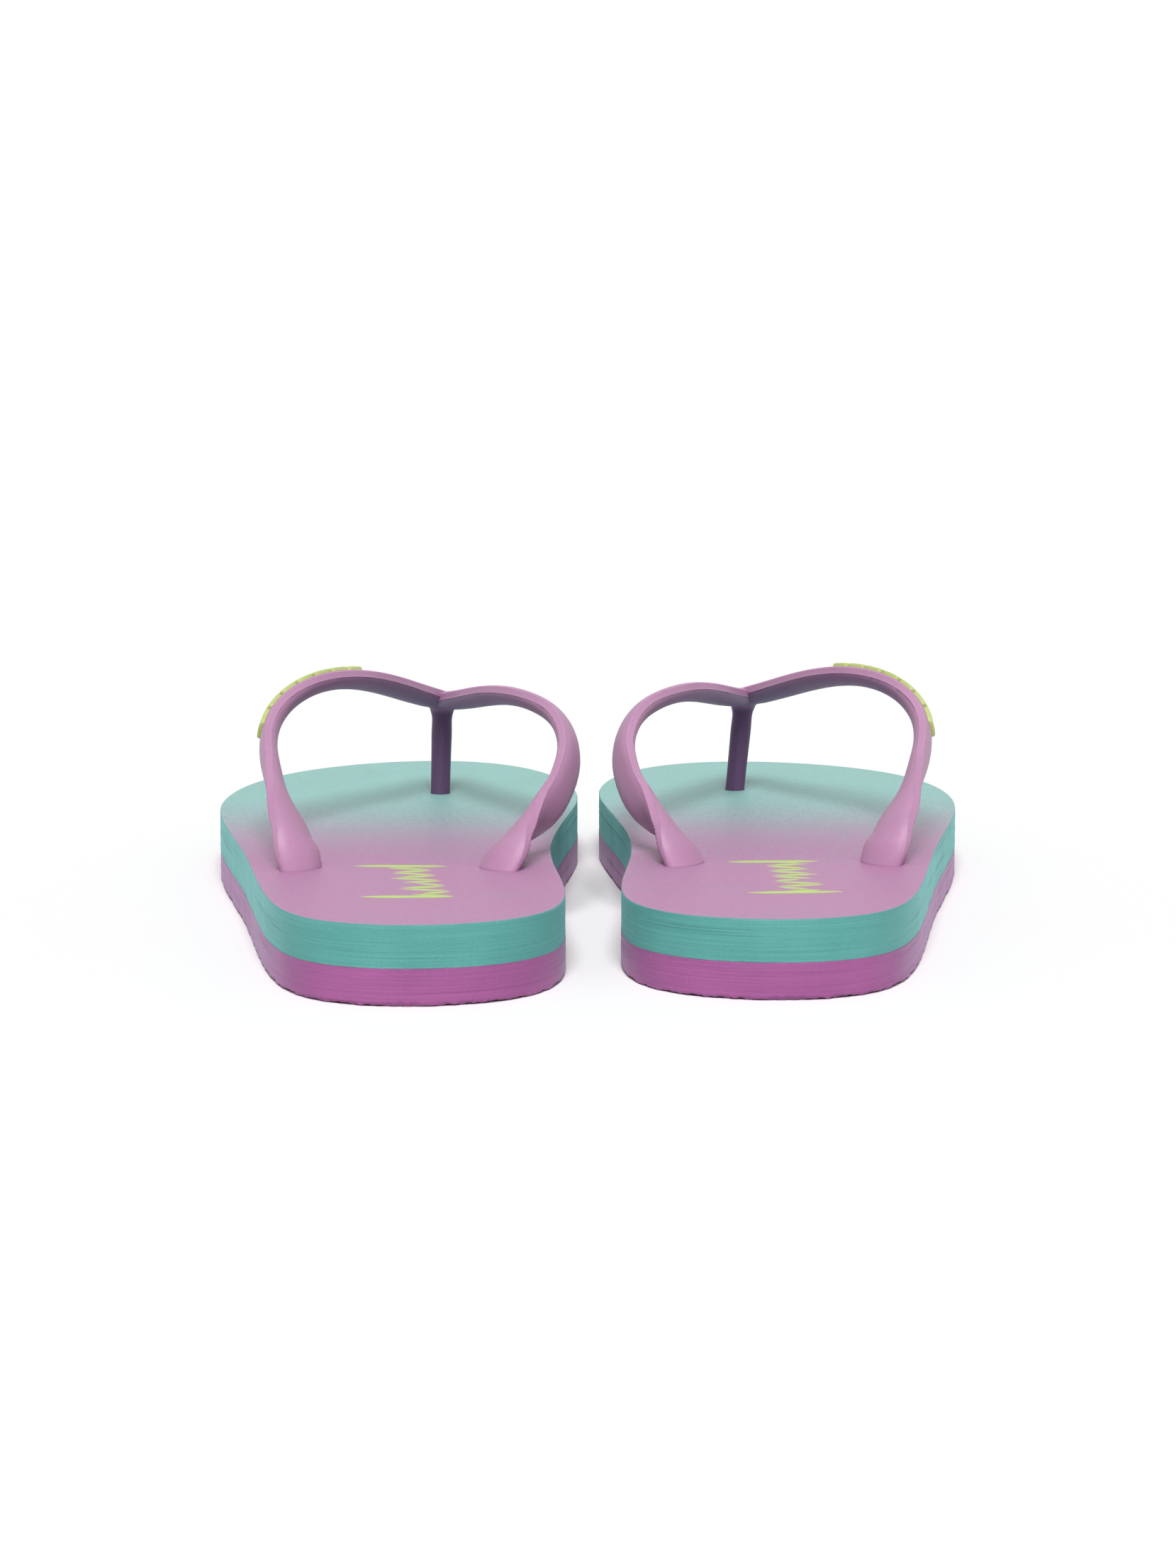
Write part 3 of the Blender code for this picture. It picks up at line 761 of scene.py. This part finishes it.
def spline(knots, rows, at):
    """Natural cubic spline through the rows: cubics that share slope and bend where they meet."""
    step = np.diff(knots)
    slope = np.diff(rows, axis=0) / step[:, None]
    system = (
        np.diag(np.r_[1, 2 * (step[:-1] + step[1:]), 1])
        + np.diag(np.r_[step[:-1], 0], -1)
        + np.diag(np.r_[0, step[1:]], 1)
    )
    ends = np.zeros((1, rows.shape[1]))
    bend = np.linalg.solve(system, np.vstack([ends, 6 * np.diff(slope, axis=0), ends]))
    left = np.clip(np.searchsorted(knots, at) - 1, 0, len(step) - 1)
    width = step[left][:, None]
    a = (knots[left + 1] - at)[:, None] / width
    b = 1 - a
    curve = ((a**3 - a) * bend[left] + (b**3 - b) * bend[left + 1]) * width**2 / 6
    return a * rows[left] + b * rows[left + 1] + curve


def unit(vectors):
    """Vectors made one long."""
    return vectors / np.linalg.norm(vectors, axis=-1, keepdims=True)


def lean(name, up):
    """How far the strap stands over at a height above the footbed, because it was pushed aside."""
    return STRAP_LEAN[name] * up / JUNCTION_HEIGHT


def arm_route(name, key):
    """Knots and rows (place, outward way, width, thickness) of an arm in the frame."""
    share, bulge, up, forward, above, width, thickness = np.array(ARMS[key]).T
    sign = 1 if key == "outer" else -1
    hole_out, hole_along = STEMS[key][0]
    out = hole_out + share * (JUNCTION[0] - hole_out) + sign * bulge + lean(name, up)
    along = hole_along + share * (JUNCTION[1] - hole_along)
    place = stand(name, out, along, bond_height(along) + FOOTBED_THICKNESS + up)
    forward, above = np.radians(forward), np.radians(above)
    aside = sign * np.cos(above) * np.cos(forward)
    ahead = np.cos(above) * np.sin(forward)
    facing = stand(name, aside, ahead, np.sin(above)) - origin(name)
    knots = np.r_[0, np.cumsum(np.linalg.norm(np.diff(place, axis=0), axis=1))]
    return knots, np.column_stack([place, facing, width, thickness])


def arm_frames(name, key, at):
    """Centre, band axis, outward axis, width and thickness at distances along an arm, and
    its direction, which is the route's slope but upright at the seat, where the section lies
    level."""
    knots, rows = arm_route(name, key)
    at = np.clip(at, 0, knots[-1])
    values = spline(knots, rows, at)
    nudge = 0.0005
    ahead = spline(knots, rows, np.minimum(at + nudge, knots[-1]))
    behind = spline(knots, rows, np.maximum(at - nudge, 0))
    direction = unit(ahead[:, :3] - behind[:, :3])
    slanted = ease(at / SEAT_BLEND)[:, None]
    direction = unit(direction * slanted + np.array([0, 0, 1]) * (1 - slanted))
    facing = values[:, 3:6]
    outward = unit(facing - np.sum(facing * direction, axis=1)[:, None] * direction)
    band = np.cross(direction, outward)
    return values[:, :3], band, outward, values[:, 6], values[:, 7], direction


def swept(centre, band, outward, width, thickness, squareness, proud):
    """Rings carried along a path. A ring's points lie at band cos(a) (width / 2 + proud) and
    outward sin(a)^squareness (thickness / 2 + proud), with squareness 1 on the inner half."""
    sine = np.sin(ANGLES)
    power = np.where(sine > 0, squareness[:, None], 1.0)
    across = np.cos(ANGLES) * (width[:, None] / 2 + proud)
    lift = np.sign(sine) * np.abs(sine) ** power * (thickness[:, None] / 2 + proud)
    return centre[:, None] + band[:, None] * across[..., None] + outward[:, None] * lift[..., None]


def ridges(at, length, seed, beads):
    """What stands proud of the section: a ragged parting line on both sides, with a few torn
    bits of flash, and on an arm a row of slanting beads near each edge of the outer face."""
    at = at[:, None]
    total = np.zeros((len(at), RING_POINTS))
    for side, angle in enumerate((ANGLES, math.pi - ANGLES)):
        ragged = 0.6 + 0.4 * grain(at, 0 * at + side, PARTING_WOBBLE, seed + side)
        flash = ease((grain(at, 0 * at + side + 5, FLASH_PATCH, seed + side) - 0.45) * 2.2)
        flash = flash * (0.7 + 0.3 * grain(at, 0 * at + 3, FLASH_TOOTH, seed))
        line = np.exp(-(((angle - PARTING_ANGLE) / PARTING_WIDTH) ** 2))
        total += line * (PARTING_HEIGHT * ragged + FLASH_HEIGHT * flash)
        phase = 2 * math.pi * at / BEAD_PITCH + BEAD_SLANT * (angle - BEAD_ANGLE)
        bead = np.exp(-(((angle - BEAD_ANGLE) / BEAD_WIDTH) ** 2))
        shoulder = np.exp(-(((angle - BEAD_ANGLE + 0.02) / SHOULDER_WIDTH) ** 2))
        row = bead * (0.5 + 0.5 * np.cos(phase)) ** 1.3 + shoulder * SHOULDER_SHARE
        total += beads * BEAD_HEIGHT * row
    ends = ease(at / RIDGES_FADE_IN) * ease((length - at) / RIDGES_FADE_OUT)
    return total * (0.15 + 0.85 * ends)


def arm_rings(name, key):
    """Plug, stem, seat, arm and a rounded nose over the toe post, as one run of rings."""
    length = arm_route(name, key)[0][-1]
    at = np.linspace(0, length, int(length / RING_SPACING))
    centre, band, outward, width, thickness, direction = arm_frames(name, key, at)
    squareness = 1 - (1 - ARM_SQUARENESS) * ease(at / SQUARE_AFTER)
    proud = ridges(at, length, seed=40 + len(key) + SIDES[name], beads=1.0)

    # Below the seat everything is level, with the seat's own axes.
    (hole_out, hole_along), (stem_length, stem_width), _ = STEMS[key]
    top = footbed_height(np.array(hole_out), np.array(hole_along))
    plug = PLUG[:, 1] * 2 * PLUG_RADIUS
    shaft = np.linspace(STEM_FOOT, top - STEM_ENDS_UNDER, 10)
    heights = np.r_[PLUG[:, 0], shaft, top - SEAT_ROWS[:, 0]]
    widths = np.r_[plug, 0 * shaft + stem_length, SEAT_ROWS[:, 1]]
    thicknesses = np.r_[plug, 0 * shaft + stem_width, SEAT_ROWS[:, 2]]
    below = len(heights)
    start = stand(name, hole_out + 0 * heights, hole_along + 0 * heights, heights)

    # Past the junction the section shrinks as a quarter of an ellipse, and sinks a little.
    turn = np.linspace(0, math.pi / 2, NOSE_RINGS)[1:]
    nose = centre[-1] + np.outer(np.sin(turn) * NOSE_LENGTH, direction[-1])
    nose = nose - np.outer((1 - np.cos(turn)) * thickness[-1] * NOSE_SINK, outward[-1])

    def joined(low, middle, high):
        return np.concatenate([np.broadcast_to(low, (below, *middle.shape[1:])), middle, high])

    return swept(
        np.concatenate([start, centre, nose]),
        joined(band[0], band, np.broadcast_to(band[-1], nose.shape)),
        joined(outward[0], outward, np.broadcast_to(outward[-1], nose.shape)),
        np.concatenate([widths, width, width[-1] * np.cos(turn)]),
        np.concatenate([thicknesses, thickness, thickness[-1] * np.cos(turn)]),
        joined(1.0, squareness, 0 * turn + squareness[-1]),
        joined(0.0, proud, np.zeros((len(turn), RING_POINTS))),
    )


def post_rings(name):
    """Plug, stem and toe post, leaning back to the junction and flaring under the arms."""
    (hole_out, hole_along), (stem_width, _), _ = STEMS["toe"]
    top = footbed_height(np.array(hole_out), np.array(hole_along))
    plug = PLUG[:, 1] * 2 * PLUG_RADIUS
    shaft = np.linspace(STEM_FOOT, top, 12)
    post_length = JUNCTION_HEIGHT - POST_ENDS_UNDER
    rise = np.linspace(0, post_length, int(JUNCTION_HEIGHT / RING_SPACING))[1:]
    share = rise / JUNCTION_HEIGHT
    heights = np.r_[PLUG[:, 0], shaft, top + rise, top + rise[-1]]
    out = np.r_[0 * plug, 0 * shaft, share * JUNCTION[0] + lean(name, rise)]
    along = np.r_[0 * plug, 0 * shaft, share * (JUNCTION[1] - hole_along)]
    out, along = hole_out + np.r_[out, out[-1]], hole_along + np.r_[along, along[-1]]
    radius = POST_RADIUS + (POST_TOP_RADIUS - POST_RADIUS) * share**2
    flare = POST_FLARE * ease((rise - FLARE_FROM) / FLARE_LENGTH) ** 2
    width = np.r_[plug, 0 * shaft + stem_width, 2 * radius + flare, 0]
    thickness = np.r_[plug, 0 * shaft + stem_width, 2 * (radius + flare), 0]
    rear = stand(name, 0.0, -1.0, 0.0) - origin(name)
    aside = stand(name, 1.0, 0.0, 0.0) - origin(name)
    count = len(heights)
    proud = np.zeros((count, RING_POINTS))
    on_post = len(PLUG) + len(shaft)
    # The parting line keeps its full height up the post, clear of both of its fades.
    proud[on_post:-1] = ridges(rise + RIDGES_FADE_IN, 0.1, seed=70 + SIDES[name], beads=0.0)
    return swept(
        stand(name, out, along, heights),
        np.tile(rear, (count, 1)),
        np.tile(aside, (count, 1)),
        width,
        thickness,
        np.ones(count),
        proud,
    )


def melt(thing, centre, reach, rounds):
    """Rounds the creases round a point, as the fillets of a mould do. The smoothing's weight
    falls from 1 to 0 over the outer half of the reach, in ten steps."""
    spots = np.zeros(len(thing.data.vertices) * 3)
    thing.data.vertices.foreach_get("co", spots)
    distance = np.linalg.norm(spots.reshape(-1, 3) - centre, axis=1)
    weight = np.ceil(10 * ease(2 - 2 * distance / reach)) / 10
    group = thing.vertex_groups.new(name="fillet")
    for level in np.unique(weight[weight > 0]):
        group.add(np.nonzero(weight == level)[0].tolist(), float(level), "REPLACE")
    step = thing.modifiers.new("fillet", "SMOOTH")
    step.vertex_group = "fillet"
    step.factor = 0.5
    step.iterations = rounds
    apply_modifiers(thing)
    thing.vertex_groups.clear()


def moulded_pvc(label, colour, dark, painted_shade_colour=None):
    """Soft satin PVC: an even colour that clouds slightly, a fine mould texture, a dull gloss.
    With a painted shade colour, shade is painted in towards it by the mesh's painted_shade
    attribute."""
    material, tree, shader, place = new_material(label)
    clouds = noise(tree, place, scale=70, detail=3)
    fine = noise(tree, place, scale=1500, detail=4)
    specks = noise(tree, place, scale=900, detail=1).between(0.70, 0.78)
    shade = blend(tree, (clouds * 0.7 + fine * 0.3).between(0.25, 0.75), dark, colour)
    shade = blend(tree, specks * 0.25, shade, dark)
    # Painted shade: the colour darkens where the mesh's painted_shade attribute marks the moulding
    # as in shade.
    if painted_shade_colour:
        painted_shade = tree.nodes.new("ShaderNodeAttribute")
        painted_shade.attribute_name = "painted_shade"
        shade = blend(tree, Field(tree, painted_shade.outputs["Fac"]), shade, painted_shade_colour)
    tree.links.new(shade, shader.inputs["Base Color"])
    gloss = fine * 0.12 + clouds * 0.10 + 0.36
    tree.links.new(gloss.socket, shader.inputs["Roughness"])
    shader.inputs["Specular IOR Level"].default_value = 0.30
    shader.inputs["Subsurface Weight"].default_value = 0.15
    shader.inputs["Subsurface Radius"].default_value = (0.6, 0.4, 0.6)
    shader.inputs["Subsurface Scale"].default_value = 0.0025
    relief(tree, shader, fine * 0.7 + clouds * 0.3, distance=0.00006)
    return material


def paint_shade(thing, name):
    """Painted shade on the moulding from 0 to 1, standing in for the shade on the toe post and
    under the arms: full on the toe post, within a little more than its radius of its axis, and
    partly on the underside of the arms, by how far it faces down."""
    spots = np.zeros(len(thing.data.vertices) * 3)
    normals = np.zeros_like(spots)
    thing.data.vertices.foreach_get("co", spots)
    thing.data.vertices.foreach_get("normal", normals)
    turn = SIDES[name] * TOE_IN[name]
    x, y, up = (spots.reshape(-1, 3) - origin(name)).T
    out = SIDES[name] * (x * math.cos(turn) + y * math.sin(turn))
    along = y * math.cos(turn) - x * math.sin(turn)
    up = up - bond_height(along) - FOOTBED_THICKNESS
    share = up / JUNCTION_HEIGHT
    axis_out = share * JUNCTION[0] + lean(name, up)
    axis_along = TOE_HOLE + share * (JUNCTION[1] - TOE_HOLE)
    off_axis = np.hypot(out - axis_out, along - axis_along)
    # Painted shade round the toe post, which lies in shade of the arms.
    on_post = 1 - ease((off_axis - PAINTED_SHADE_POST_RADIUS) / PAINTED_SHADE_POST_EDGE)
    on_post = on_post * (1 - ease((up - PAINTED_SHADE_POST_UNTIL) / PAINTED_SHADE_POST_FADE))
    # Painted shade on the arms' underside, by how far it faces down.
    under = ease(-1.5 * normals[2::3]) * ease((up - PAINTED_SHADE_UNDER_FROM) / PAINTED_SHADE_UNDER_FADE)
    painted_shade = thing.data.attributes.new("painted_shade", "FLOAT", "POINT")
    painted_shade.data.foreach_set("value", np.maximum(on_post, UNDERSIDE_PAINTED_SHADE * under))


lilac_pvc = moulded_pvc(
    "lilac_pvc",
    colour=(0.455, 0.248, 0.395),
    dark=(0.400, 0.205, 0.340),
    # Painted shade colour for the toe post and the arms' underside.
    painted_shade_colour=(0.130, 0.064, 0.150),
)

for name in SIDES:
    strap = new_piece(name + "_strap_moulding", arm_rings(name, "outer"), lilac_pvc)
    others = [
        new_piece("inner_arm", arm_rings(name, "inner"), lilac_pvc),
        new_piece("toe_post", post_rings(name), lilac_pvc),
    ]
    combine(strap, others, "UNION")
    top = bond_height(JUNCTION[1]) + FOOTBED_THICKNESS + JUNCTION_HEIGHT
    junction = stand(name, JUNCTION[0] + STRAP_LEAN[name], JUNCTION[1], top)
    melt(strap, junction, JUNCTION_FILLET, FILLET_ROUNDS)
    soften(strap)
    # Paints shade onto the toe post and the arms' underside.
    paint_shade(strap, name)
    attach(strap, name + "_sandal")
    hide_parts(name + "_strap")


# ---------------------------------------------------------------------------------------
# Badge blocks: a row of plain raised blocks of lime PVC on the outer arm, each shot into
# a cavity of the strap's mould before the strap, so that it follows the arm's bend. The
# top of each has a low rim round a sunk face.
# ---------------------------------------------------------------------------------------
BLOCK_COUNT = 7
BLOCK_LENGTH = 0.0058
BLOCK_WIDTH = 0.0058
BLOCK_PITCH = 0.0068
FIRST_BLOCK = 0.0530
BLOCK_POINTS = 64
BLOCK_CORNERS = 0.3
# From the middle of the underside round to the middle of the top: inset from the edge, as a
# share of the half width, and height above the arm's face.
BLOCK_PROFILE = np.array(
    [
        (1.0, -0.0004), (0.0, -0.0004), (0.0, 0.00045), (0.012, 0.00066), (0.05, 0.00083),
        (0.10, 0.00090), (0.22, 0.00090), (0.26, 0.00085), (0.30, 0.00074), (0.36, 0.00072),
        (0.6, 0.00072), (0.8, 0.00072), (1.0, 0.00072),
    ]
)


def block_rings(name, number):
    """A block as rings of a rounded rectangle, cos^0.3 by sin^0.3, bent onto the arm's face.

    The face lies (1 - (2 v / width)^2)^(squareness / 2) of half the thickness out from the
    arm's middle."""
    a = np.linspace(0, 2 * math.pi, BLOCK_POINTS, endpoint=False)
    cosine, sine = np.cos(a), np.sin(a)
    inset, height = BLOCK_PROFILE[:, :1], BLOCK_PROFILE[:, 1:]
    u = (1 - inset) * (np.sign(cosine) * np.abs(cosine) ** BLOCK_CORNERS) * BLOCK_LENGTH / 2
    v = (1 - inset) * (np.sign(sine) * np.abs(sine) ** BLOCK_CORNERS) * BLOCK_WIDTH / 2
    at = FIRST_BLOCK + BLOCK_PITCH * number + u
    centre, band, outward, width, thickness, _ = (
        part.reshape(*u.shape, -1) for part in arm_frames(name, "outer", at.ravel())
    )
    face = (1 - (2 * v[..., None] / width) ** 2) ** (ARM_SQUARENESS / 2) * thickness / 2
    return centre + band * v[..., None] + outward * (face + height[..., None])


lime_pvc = moulded_pvc("lime_pvc", colour=(0.47, 0.55, 0.20), dark=(0.38, 0.46, 0.14))

for name in SIDES:
    for number in range(BLOCK_COUNT):
        block = new_piece(f"{name}_badge_block_{number + 1}", block_rings(name, number), lime_pvc)
        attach(block, name + "_sandal")
        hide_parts(f"{name}_badge_tile_{number + 1}")


# ---------------------------------------------------------------------------------------
# Studio: a plain white floor under white daylight, a wide soft light above and behind the
# camera, and a long lens low behind the heels.
# ---------------------------------------------------------------------------------------
FLOOR_SIZE = 60.0
FLOOR_WHITE = 0.92
BACKDROP = 1.05
DAYLIGHT = 0.32
KEY_STRENGTH = 3.25
KEY_ANGLE = math.radians(23)
KEY_TILT = math.radians(42)
CAMERA_PLACE = (0.0, -0.9792, 0.1771)
CAMERA_PITCH = math.radians(8.535)

reach = FLOOR_SIZE / 2
corners = [(-reach, -reach, 0), (reach, -reach, 0), (reach, reach, 0), (-reach, reach, 0)]
floor_mesh = bpy.data.meshes.new("studio_floor")
floor_mesh.from_pydata(corners, [], [(0, 1, 2, 3)])
floor = bpy.data.objects.new("studio_floor", floor_mesh)
bpy.context.scene.collection.objects.link(floor)
floor_paint, _, floor_shader, _ = new_material("studio_white")
floor_shader.inputs["Base Color"].default_value = (FLOOR_WHITE, FLOOR_WHITE, FLOOR_WHITE, 1)
floor_shader.inputs["Roughness"].default_value = 1.0
floor_shader.inputs["Specular IOR Level"].default_value = 0.0
floor_mesh.materials.append(floor_paint)

# The backdrop and its reflections are brighter than the daylight that falls on the sandals,
# so the backdrop is white and the shadows stay.
world = bpy.data.worlds.new("studio_daylight")
world.use_nodes = True
sky = world.node_tree.nodes["Background"]
sky.inputs["Color"].default_value = (1, 1, 1, 1)
ray = world.node_tree.nodes.new("ShaderNodeLightPath").outputs
direct = Field(world.node_tree, ray["Is Camera Ray"])
seen = direct.math("MAXIMUM", Field(world.node_tree, ray["Is Glossy Ray"]))
strength = seen * (BACKDROP - DAYLIGHT) + DAYLIGHT
world.node_tree.links.new(strength.socket, sky.inputs["Strength"])
bpy.context.scene.world = world

sun = bpy.data.lights.new("softbox", "SUN")
sun.energy = KEY_STRENGTH
sun.angle = KEY_ANGLE
softbox = bpy.data.objects.new("softbox", sun)
softbox.rotation_euler = (KEY_TILT, 0, 0)
bpy.context.scene.collection.objects.link(softbox)

lens = bpy.data.cameras.new("camera")
lens.lens = 90.0
lens.sensor_width = 36.0
lens.clip_start = 0.01
camera = bpy.data.objects.new("camera", lens)
camera.location = CAMERA_PLACE
camera.rotation_euler = (math.pi / 2 - CAMERA_PITCH, 0, 0)
bpy.context.scene.collection.objects.link(camera)
bpy.context.scene.camera = camera
bpy.context.scene.view_settings.view_transform = "Standard"
